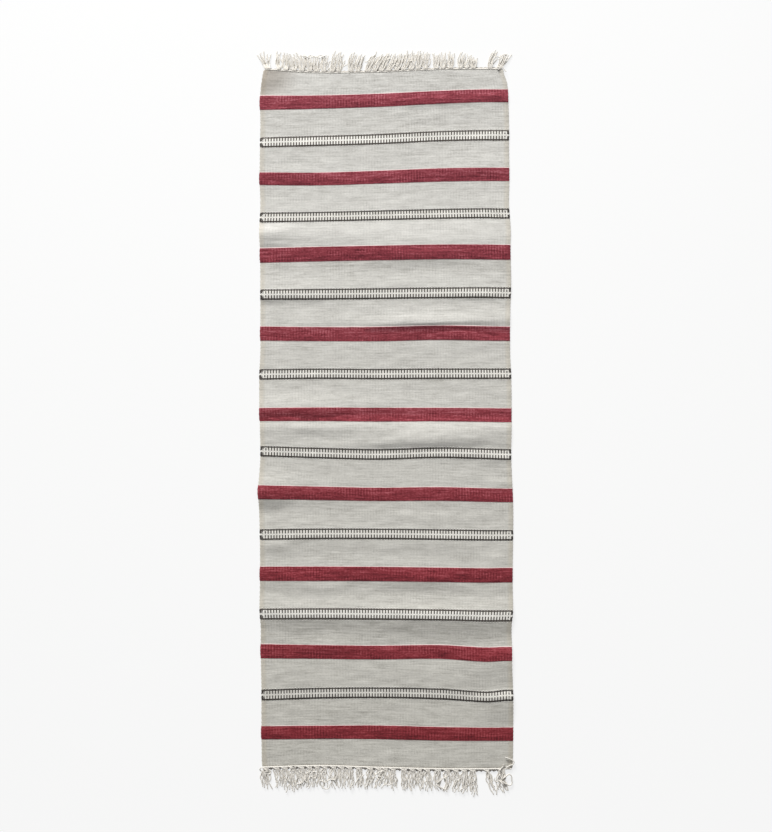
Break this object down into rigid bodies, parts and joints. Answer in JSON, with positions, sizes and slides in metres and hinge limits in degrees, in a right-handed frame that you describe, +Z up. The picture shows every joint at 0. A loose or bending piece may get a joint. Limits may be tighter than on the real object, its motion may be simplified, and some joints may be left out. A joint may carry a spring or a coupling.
{
  "type": "dhurrie rug",
  "caption": "Flat-woven striped cotton runner lying flat with soft ripples, with a twined cord and a fringe of warp yarn at both short ends.",
  "frame": {"origin": "on the floor under the middle of the rug, fringes included", "axes": "+X across the rug to the right in the picture, +Y along the rug to the upper end in the picture, +Z up from the floor"},
  "size_m": [0.7206, 2.0891, 0.011],
  "materials": {
    "ground_yarn": "weft-faced plain weave in warm grey cotton, matt, with uneven darker wefts",
    "fringe_yarn": "undyed off-white twisted cotton yarn, matt",
    "red_yarn": "crimson dyed cotton weft, matt",
    "black_yarn": "near-black dyed cotton weft, matt",
    "white_yarn": "bleached white cotton weft, matt"
  },
  "bodies": {
    "root": {"cloth": "ground_yarn", "fringe_head": "fringe_yarn", "fringe_foot": "fringe_yarn"}
  },
  "joints": []
}
